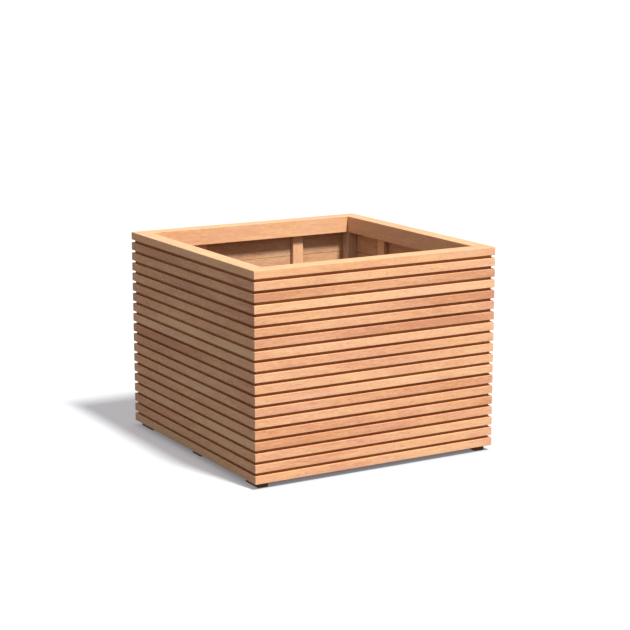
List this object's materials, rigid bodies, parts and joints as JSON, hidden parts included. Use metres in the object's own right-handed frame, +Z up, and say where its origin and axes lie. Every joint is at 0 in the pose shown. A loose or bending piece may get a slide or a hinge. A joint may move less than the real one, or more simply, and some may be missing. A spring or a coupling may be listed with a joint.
{
  "type": "planter box",
  "caption": "Square hardwood planter box with ribbed tongue-and-groove walls, a mitred rim, inner posts and battens, a slatted floor and low foot pads.",
  "frame": {"origin": "on the ground, under the middle of the box", "axes": "+Z up, +X to the right and +Y to the back when facing the front wall"},
  "size_m": [1, 1, 0.77],
  "materials": {
    "wall_timber": "oiled, satin",
    "rim_timber": "oiled, satin",
    "frame_timber": "planed, matt",
    "floor_timber": "brown stained, matt",
    "foot_rubber": "moulded, matt",
    "screw_steel": "stainless, satin"
  },
  "bodies": {
    "root": {"front_wall_board_1": "wall_timber", "front_wall_board_2": "wall_timber", "front_wall_board_3": "wall_timber", "front_wall_board_4": "wall_timber", "front_wall_board_5": "wall_timber", "front_wall_board_6": "wall_timber", "back_wall_board_1": "wall_timber", "back_wall_board_2": "wall_timber", "back_wall_board_3": "wall_timber", "back_wall_board_4": "wall_timber", "back_wall_board_5": "wall_timber", "back_wall_board_6": "wall_timber", "left_wall_board_1": "wall_timber", "left_wall_board_2": "wall_timber", "left_wall_board_3": "wall_timber", "left_wall_board_4": "wall_timber", "left_wall_board_5": "wall_timber", "left_wall_board_6": "wall_timber", "right_wall_board_1": "wall_timber", "right_wall_board_2": "wall_timber", "right_wall_board_3": "wall_timber", "right_wall_board_4": "wall_timber", "right_wall_board_5": "wall_timber", "right_wall_board_6": "wall_timber", "rim_front": "rim_timber", "rim_back": "rim_timber", "rim_left": "rim_timber", "rim_right": "rim_timber", "corner_post_front_left": "frame_timber", "corner_post_front_right": "frame_timber", "corner_post_back_left": "frame_timber", "corner_post_back_right": "frame_timber", "front_batten_1": "frame_timber", "front_batten_2": "frame_timber", "back_batten_1": "frame_timber", "back_batten_2": "frame_timber", "left_batten_1": "frame_timber", "left_batten_2": "frame_timber", "right_batten_1": "frame_timber", "right_batten_2": "frame_timber", "floor_bearer_front": "frame_timber", "floor_bearer_middle": "frame_timber", "floor_bearer_back": "frame_timber", "floor_board_1": "floor_timber", "floor_board_2": "floor_timber", "floor_board_3": "floor_timber", "floor_board_4": "floor_timber", "floor_board_5": "floor_timber", "floor_board_6": "floor_timber", "floor_board_7": "floor_timber", "floor_board_8": "floor_timber", "floor_board_9": "floor_timber", "foot_pad_front_left": "foot_rubber", "foot_pad_front_right": "foot_rubber", "foot_pad_middle_left": "foot_rubber", "foot_pad_middle_right": "foot_rubber", "foot_pad_back_left": "foot_rubber", "foot_pad_back_right": "foot_rubber"}
  },
  "joints": []
}
